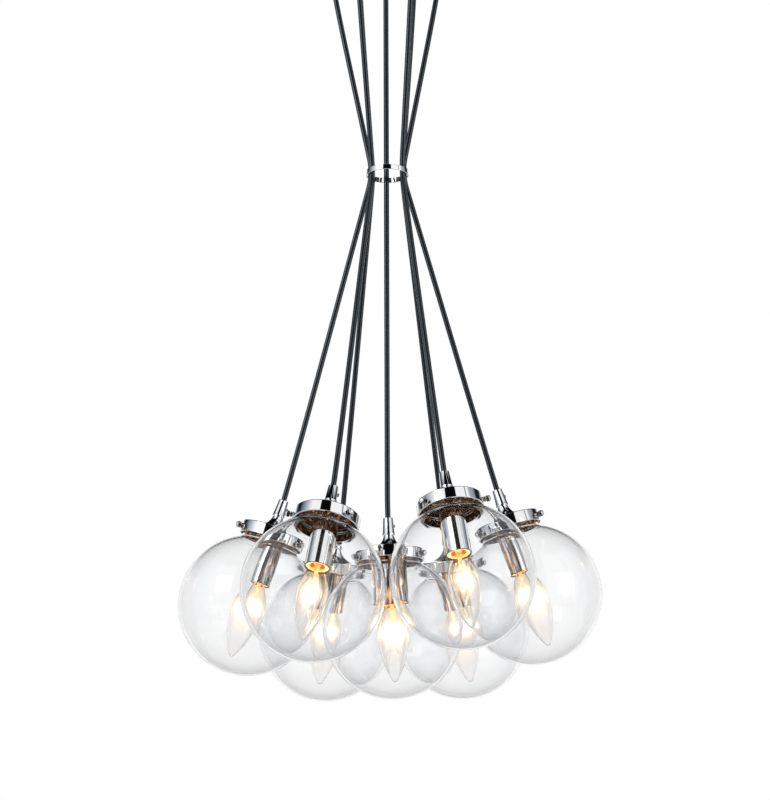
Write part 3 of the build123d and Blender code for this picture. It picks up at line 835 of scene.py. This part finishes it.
thread = []
for step in range(THREAD_STEPS + 1):
    risen = step * THREAD_STEP
    thread.append((BASE_RADIUS - THREAD_DEPTH * wave(2 * pi * risen / THREAD_PITCH),
                   -(BASE_TOP - THREAD_FROM_TOP - risen)))
base_section = joined(
    [(0, -BASE_TOP), (BASE_RADIUS - BASE_EDGE, -BASE_TOP), (BASE_RADIUS, -BASE_TOP + BASE_EDGE)],
    thread,
    [(BASE_TAPER_RADIUS, -BASE_FOOT - BASE_TAPER), (BASE_FOOT_RADIUS, -BASE_FOOT),
     (CONTACT_RADIUS, -BASE_FOOT), (CONTACT_RADIUS, -CONTACT_FOOT - CONTACT_EDGE),
     (CONTACT_TIP_RADIUS, -CONTACT_FOOT), (0, -CONTACT_FOOT)],
)
base_mesh = lathe("base", [(base_section, False, 0)], 64, 30)

post_section = joined(
    [(0, -BASE_TOP), (POST_RADIUS + POST_FLARE, -BASE_TOP), (POST_RADIUS, -BASE_TOP - POST_TAPER),
     (POST_RADIUS - POST_WAIST, -POST_END + POST_TAPER),
     (POST_BEAD_RADIUS, -POST_END + POST_BEAD_TOP)],
    arc(0, -POST_END + POST_BEAD_CENTRE, POST_BEAD_RADIUS, 0, -90, 6),
)
post_mesh = lathe("post", [(post_section, False, 0)], 32, 40)

coil = []
for step in range(COIL_STEPS + 1):
    share = step / COIL_STEPS
    angle = 2 * pi * COIL_TURNS * share
    sag = COIL_SAG * sin(pi * share)
    coil.append((FILAMENT_REACH * (2 * share - 1), COIL_RADIUS * cos(angle),
                 -FILAMENT_DEPTH - sag + COIL_RADIUS * sin(angle)))
filament_mesh = wires("filament", coil, radius=FINE_WIRE)
leads_mesh = wires(
    "leads",
    [(-1.2, 0, -POST_END + 2), (-2.4, 0, -POST_END - 2), (-6.2, 0, -FILAMENT_DEPTH)],
    [(1.2, 0, -POST_END + 2), (2.4, 0, -POST_END - 2), (6.2, 0, -FILAMENT_DEPTH)],
    [(0, 0.6, -POST_END + 2), (0, 1.6, -POST_END - 3), (0, 0.9, -FILAMENT_DEPTH - 1.2)],
    radius=FINE_WIRE,
)


def knurled_screw():
    """The thumbscrew along z: plain shank, lock collar and knurled head."""
    foot = SCREW_HEAD - SCREW_TIP
    # Each level is a height and a radius, with the grooves' radius where it is knurled.
    levels = [
        (0, 1.2), (0.6, SCREW_RADIUS), (foot - 2.3, SCREW_RADIUS),
        (foot - 2.3, 2.75), (foot - 2.1, 2.95), (foot - 1.1, 2.95), (foot - 0.9, 2.75),
        (foot - 0.9, 2.0), (foot, 2.0), (foot, 2.8),
        (foot + 0.4, HEAD_RADIUS, 2.9), (foot + 3.2, HEAD_RADIUS, 2.9), (foot + 3.6, 2.8),
        (foot + 4.3, 2.5), (foot + 4.75, 1.8), (foot + HEAD_LENGTH, 0.7),
    ]
    work = bmesh.new()
    rings = []
    for z, ridge, *rest in levels:
        groove = rest[0] if rest else ridge
        ring = []
        for s in range(2 * KNURLS):
            r = ridge if s % 2 else groove
            angle = pi * s / KNURLS
            ring.append(work.verts.new((r * MM * cos(angle), r * MM * sin(angle), z * MM)))
        rings.append(ring)
    skin(work, rings)
    return finish_mesh("screw", work, 25)


screw_mesh = knurled_screw()

# ======================================================================== pendants
for name, place in PENDANTS.items():
    matrix = place_matrix(place)
    amid = name == "centre"
    body = "frame" if amid else f"pendant_{name}"
    bulb = f"bulb_{name}"
    screw_turn = place[4] - place[0]
    piece(f"stem_{name}", stem_mesh, matrix, body, chrome, slot="fitter_chrome",
          nodes=[f"fitter_{name}"])
    piece(f"cap_{name}", cap_mesh, matrix, body, chrome, cap_inside_painted_glints, slot="fitter_chrome")
    piece(f"sleeve_{name}", sleeve_mesh.copy() if amid else sleeve_mesh, matrix, body,
          sleeve_amid_painted_reflection if amid else sleeve_painted_reflection, sleeve_rim_painted_glow, slot="lampholder_chrome",
          nodes=[f"lampholder_{name}"])
    piece(f"insert_{name}", insert_mesh, matrix, body, insert_painted_glow, slot="lampholder_chrome")
    globe = piece(f"glass_globe_{name}", globe_mesh, matrix, body, globe_glass,
                  slot="clear_glass", nodes=[f"globe_{name}"])
    globe.visible_shadow = False
    glass = piece(f"envelope_{name}", bulb_mesh, matrix, bulb, bulb_glass, slot="bulb_glass",
                  nodes=[f"bulb_{name}"])
    glass.visible_shadow = False
    piece(f"bulb_base_{name}", base_mesh, matrix, bulb, base_metal, slot="bulb_glass")
    piece(f"bulb_post_{name}", post_mesh, matrix, bulb, post_glass_painted_glow, slot="bulb_glass")
    piece(f"filament_{name}", filament_mesh, matrix, bulb, filament_glow, slot="bulb_glass")
    piece(f"leads_{name}", leads_mesh, matrix, bulb, lead_wire_painted_glow, slot="bulb_glass")
    piece(f"set_screw_{name}", set_screw_mesh,
          sideways(matrix, screw_turn + SET_SCREW_TURN, SET_SCREW_DEPTH, SET_SCREW_SEAT), body,
          screw_painted_light, slot="fitter_chrome")
    for number, tag in enumerate(SCREW_TAGS):
        around = screw_turn + 360 / len(SCREW_TAGS) * number
        piece(f"knurled_{name}_{tag}", screw_mesh,
              sideways(matrix, around, SCREW_DEPTH, SCREW_TIP),
              f"screw_{name}_{tag}", screw_painted_light, slot="screw_chrome",
              nodes=[f"thumbscrew_{name}_{tag}"])
        piece(f"boss_{name}_{tag}", boss_mesh,
              sideways(matrix, around, SCREW_DEPTH, CAP_RADIUS - BOSS_SUNK), body,
              chrome, slot="fitter_chrome")

# ======================================================================== stage and light
# The stage and the lamps are placed in metres.
FLOOR = -2.4
FLOOR_REACH = 6
work = bmesh.new()
bmesh.ops.create_grid(work, x_segments=1, y_segments=1, size=FLOOR_REACH)
floor = bpy.data.objects.new("floor", finish_mesh("floor", work))
scene.collection.objects.link(floor)
floor.location = (0, 0, FLOOR)
pale, tree, shader = material("pale_floor", Roughness=0.8, Emission_Color=(1, 1, 1, 1))
seen_first = tree.nodes.new("ShaderNodeLightPath").outputs["Is Camera Ray"]
feed(tree, shader, Emission_Strength=spread(tree, seen_first, 0, 0.35, 0, 1),
     Base_Color=ramp(tree, noise(tree, 2, 2), (0.3, (0.86, 0.86, 0.86)), (0.7, (0.9, 0.9, 0.9))))
floor.data.materials.append(pale)

# The world is white to the camera and an even grey to what it lights. In chrome and glass it is
# a studio: walls by bearing, a dark ceiling with one thin lamp, and a dark floor.
world = bpy.data.worlds.new("studio")
scene.world = world
world.use_nodes = True
tree = world.node_tree
tree.nodes.clear()
where = tree.nodes.new("ShaderNodeTexCoord")
split = tree.nodes.new("ShaderNodeSeparateXYZ")
tree.links.new(where.outputs["Generated"], split.inputs["Vector"])
bearing = maths(tree, "ARCTAN2", split.outputs["X"],
                maths(tree, "MULTIPLY", split.outputs["Y"], -1))
round_room = spread(tree, bearing, 0, 1, -pi, pi)
height = spread(tree, split.outputs["Z"], 0, 1, -1, 1)
across = spread(tree, split.outputs["X"], 0, 1, -1, 1)

walls = ramp(
    tree, round_room,
    (0.0, WHITE), (0.09, WHITE), (0.12, (0.3, 0.31, 0.33)), (0.15, (0.02, 0.02, 0.025)),
    (0.18, (0.05, 0.055, 0.065)), (0.22, (0.22, 0.25, 0.3)), (0.27, (0.5, 0.55, 0.62)),
    (0.33, WHITE), (0.438, WHITE), (0.442, BLACK), (0.558, BLACK), (0.562, WHITE), (0.672, WHITE),
    (0.677, (0.2, 0.22, 0.25)), (0.684, (0.2, 0.22, 0.25)), (0.689, WHITE), (0.71, WHITE),
    (0.73, (0.45, 0.48, 0.53)), (0.79, (0.28, 0.3, 0.33)), (0.81, (0.02, 0.02, 0.025)),
    (0.86, (0.03, 0.03, 0.035)), (0.88, (0.3, 0.31, 0.33)), (0.91, WHITE), (1.0, WHITE),
)
overhead = ramp(tree, across, (0.0, BLACK), (0.6, BLACK), (0.61, WHITE), (0.62, WHITE),
                (0.63, BLACK), (1.0, BLACK))
underneath = ramp(tree, height, (0.0, (0.3, 0.31, 0.33)), (0.35, (0.12, 0.12, 0.13)),
                  (0.5, BLACK), (1.0, BLACK))
upper_half = ramp(tree, height, (0.0, OFF), (0.5, OFF), (0.52, WHITE), (1.0, WHITE))
wall_band = ramp(tree, height, (0.0, OFF), (0.3, OFF), (0.4, WHITE), (0.9, WHITE), (0.93, OFF),
                 (1.0, OFF))
rear = ramp(tree, round_room, (0.0, WHITE), (0.15, WHITE), (0.2, OFF), (0.8, OFF), (0.85, WHITE),
            (1.0, WHITE))
high = ramp(tree, height, (0.0, OFF), (0.68, OFF), (0.76, WHITE), (1.0, WHITE))
level_band = ramp(tree, height, (0.0, OFF), (0.2, OFF), (0.3, WHITE), (0.7, WHITE), (0.78, OFF),
                  (1.0, OFF))
room = mix(tree, times(tree, rear, high),
           mix(tree, wall_band, mix(tree, upper_half, underneath, overhead), walls), BLACK)

path = tree.nodes.new("ShaderNodeLightPath")
through = mix(tree, path.outputs["Is Transmission Ray"], room, times(tree, rear, level_band),
              "LIGHTEN")
mirrored = maths(tree, "MAXIMUM", path.outputs["Is Glossy Ray"],
                 path.outputs["Is Transmission Ray"])
light = tree.nodes.new("ShaderNodeBackground")
tree.links.new(mix(tree, path.outputs["Is Camera Ray"],
                   mix(tree, mirrored, (0.62, 0.62, 0.63), through), WHITE),
               light.inputs["Color"])
out = tree.nodes.new("ShaderNodeOutputWorld")
tree.links.new(light.outputs["Background"], out.inputs["Surface"])


def soft_light(name, place, aim, size, power):
    """A soft area lamp that faces a point."""
    data = bpy.data.lights.new(name, "AREA")
    data.size = size
    data.energy = power
    lamp = bpy.data.objects.new(name, data)
    scene.collection.objects.link(lamp)
    lamp.location = place
    lamp.rotation_euler = (Vector(aim) - Vector(place)).to_track_quat("-Z", "Y").to_euler()


soft_light("key", place=(-1.6, -1.8, 0.4), aim=(0, 0, -0.6), size=1.2, power=9)
soft_light("fill", place=(1.8, -1.2, -0.4), aim=(0, 0, -0.7), size=1.2, power=5)

scene.view_settings.view_transform = "Standard"
